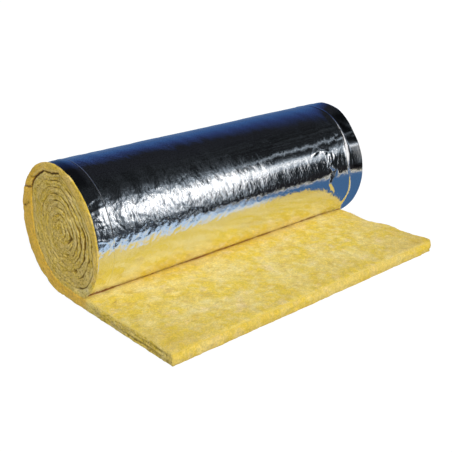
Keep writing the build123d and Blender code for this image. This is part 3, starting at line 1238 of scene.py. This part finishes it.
def strip_light(start, direction, height):
    """Colour of the lights that the foil mirrors: a broad band at the left, two thin lines to the right."""
    across = direction.axis("X")
    thin = across.span(0.595, 0.69)
    broad = (across - 0.595).hill(0.045)
    off = height - 0.42 + 0.06 * thin
    above = 0.155 - 0.10 * thin + 0.015 * broad
    below = 0.245 - 0.158 * thin + 0.145 * broad
    band = off.hill(below + (above - below) * (off > 0)) * (0.86 - 0.15 * thin + 0.55 * broad)
    band = band * across.span(0.38, 0.515, 0.1, 1.0) * across.span(0.738, 0.752, 1.0, 0.45)
    band = band + (height - 0.56).hill(0.015) * thin * 0.34
    dark = direction.noise(22.0, 4.0, 0.75).span(0.40, 0.72, 0.005, 0.036)
    cool = start.node("ShaderNodeCombineXYZ", X=0.74, Y=0.87, Z=1.0)
    tint = cool.mixed(WHITE, band.span(0.3, 0.9))
    return tint.lit(dark + band)


def light_world(scene, settings):
    """White to the eye, an even dome for the wool, and a dark studio with a blue backdrop in the foil."""
    world = bpy.data.worlds.new("studio")
    world.use_nodes = True
    world.node_tree.nodes.clear()
    scene.world = world
    start = Value(world.node_tree, None)
    to_eye = start.node("ShaderNodeLightPath", output="Is Camera Ray")
    glossy = start.node("ShaderNodeLightPath", output="Is Glossy Ray")
    scattered = start.node("ShaderNodeLightPath", output="Diffuse Depth") > 0.5
    seen_in_foil = glossy * (1 - scattered)
    direction = start.node("ShaderNodeTexCoord", output="Generated")
    height, depth = direction.axis("Z"), direction.axis("Y")
    backdrop = start.node("ShaderNodeValToRGB", {"stops": BACKDROP}, Fac=height)
    ahead = strip_light(start, direction, height).lit(settings.strip_light)
    mirrored = ahead.mixed(backdrop, depth.span(-0.15, 0.35))
    dome = start.colour((0.6, 0.6, 0.58)).mixed(WHITE, height.span(-0.25, 0.35))
    seen = start.node("ShaderNodeBackground", Color=WHITE, Strength=1.0)
    in_foil = start.node("ShaderNodeBackground", Color=mirrored, Strength=1.0)
    around = start.node("ShaderNodeBackground", Color=dome, Strength=settings.dome_light)
    towards_key = start.node(
        "ShaderNodeVectorMath", {"operation": "DOT_PRODUCT"}, output="Value", _0=direction, _1=KEY_FROM
    )
    key_strength = towards_key.span(0.8, 0.97, 0.0, settings.key_light)
    key = start.node("ShaderNodeBackground", Color=WHITE, Strength=key_strength)
    around = start.node("ShaderNodeAddShader", _0=around, _1=key)
    light = start.node("ShaderNodeMixShader", _0=seen_in_foil, _1=around, _2=in_foil)
    light = start.node("ShaderNodeMixShader", _0=to_eye, _1=light, _2=seen)
    output = world.node_tree.nodes.new("ShaderNodeOutputWorld")
    world.node_tree.links.new(light.socket, output.inputs["Surface"])


# Operators


class INSULATION_OT_wool(bpy.types.Operator):
    """Make the wound wool blanket and its flap"""

    bl_idname = "insulation.wool"
    bl_label = "Wool Blanket"

    def execute(self, context):
        settings = context.scene.insulation_roll
        piece = WoolSurface(Blanket(settings.blanket)).build("glass_wool_blanket")
        piece.data.materials.append(wool_material(settings.wool))
        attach(piece, "root")
        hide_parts("wool_blanket")
        return {"FINISHED"}


class INSULATION_OT_foil(bpy.types.Operator):
    """Make the crinkled foil facing round the roll and under the flap"""

    bl_idname = "insulation.foil"
    bl_label = "Foil Facing"

    def execute(self, context):
        settings = context.scene.insulation_roll
        blanket = Blanket(settings.blanket)
        surface = FoilSurface(blanket, settings.foil)
        piece = surface.build("foil_sheet")
        piece.data.materials.append(foil_material(settings.foil))
        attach(piece, "root")
        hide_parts("foil_facing")
        return {"FINISHED"}


class INSULATION_OT_fibres(bpy.types.Operator):
    """Scatter loose fibres over the flap"""

    bl_idname = "insulation.fibres"
    bl_label = "Loose Fibres"

    def execute(self, context):
        settings = context.scene.insulation_roll
        blanket = Blanket(settings.blanket)
        rng = np.random.default_rng(FIBRE_SEED)
        count = settings.blanket.fibres
        x = rng.uniform(-width / 2 + 0.01, width / 2 - 0.01, count)
        y = rng.uniform(flap_end_y + 0.012, blanket.tuck_y - 0.02, count)
        starts = np.stack((x, y, blanket.flap_top(x, y)), axis=-1)
        heading = rng.uniform(0, tau, count)
        directions = np.stack((np.cos(heading), np.sin(heading), heading * 0), axis=-1)
        ups = np.broadcast_to(np.array([0.0, 0.0, 1.0]), starts.shape)
        lengths = rng.uniform(*FIBRE_LENGTHS, count)
        piece = fibre_tubes(starts, directions, ups, lengths, rng).build("loose_fibres")
        piece.data.materials.append(bpy.data.materials["glass_wool"])
        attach(piece, "root")
        return {"FINISHED"}


class INSULATION_OT_stage(bpy.types.Operator):
    """Set the camera, the floor and the studio light"""

    bl_idname = "insulation.stage"
    bl_label = "Stage"

    def execute(self, context):
        settings = context.scene.insulation_roll.stage
        context.scene.view_settings.view_transform = "Standard"
        place_camera(context.scene, settings)
        light_world(context.scene, settings)
        floor = stage_sheet("floor", square(FLOOR_HALF, 0))
        floor.data.materials.append(floor_material())
        floor.visible_glossy = floor.visible_diffuse = False
        mirrored = stage_sheet("floor_in_foil", square(MIRRORED_HALF, -0.001))
        mirrored.data.materials.append(blue_floor_material())
        only_in_foil(mirrored)
        # A blue sheet seen only in the foil, painting a blue reflection over the flap's front
        raised = stage_sheet("reflection_over_flap", [(x, y, MIRRORED_RISE) for x, y in RAISED_OUTLINE])
        raised.data.materials.append(mirrored.data.materials[0])
        only_in_foil(raised)
        return {"FINISHED"}


class INSULATION_PT_panel(bpy.types.Panel):
    """Lists the roll's operators and settings"""

    bl_label = "Insulation Roll"
    bl_space_type = "VIEW_3D"
    bl_region_type = "UI"
    bl_category = "Insulation Roll"

    def draw(self, context):
        settings = context.scene.insulation_roll
        for operator in OPERATORS:
            self.layout.operator(operator.bl_idname)
        for group in (settings.blanket, settings.wool, settings.foil, settings.stage):
            box = self.layout.box()
            for name in group.bl_rna.properties.keys():
                if name not in ("rna_type", "name"):
                    box.prop(group, name)


OPERATORS = (INSULATION_OT_wool, INSULATION_OT_foil, INSULATION_OT_fibres, INSULATION_OT_stage)
SETTINGS = (BlanketSettings, WoolSettings, FoilSettings, StageSettings, RollSettings)
CLASSES = (*SETTINGS, *OPERATORS, INSULATION_PT_panel)


def register():
    for cls in CLASSES:
        bpy.utils.register_class(cls)
    bpy.types.Scene.insulation_roll = PointerProperty(type=RollSettings)


def unregister():
    del bpy.types.Scene.insulation_roll
    for cls in reversed(CLASSES):
        bpy.utils.unregister_class(cls)


def main():
    register()
    bpy.ops.insulation.wool()
    bpy.ops.insulation.foil()
    bpy.ops.insulation.fibres()
    bpy.ops.insulation.stage()


if __name__ == "__main__":
    main()
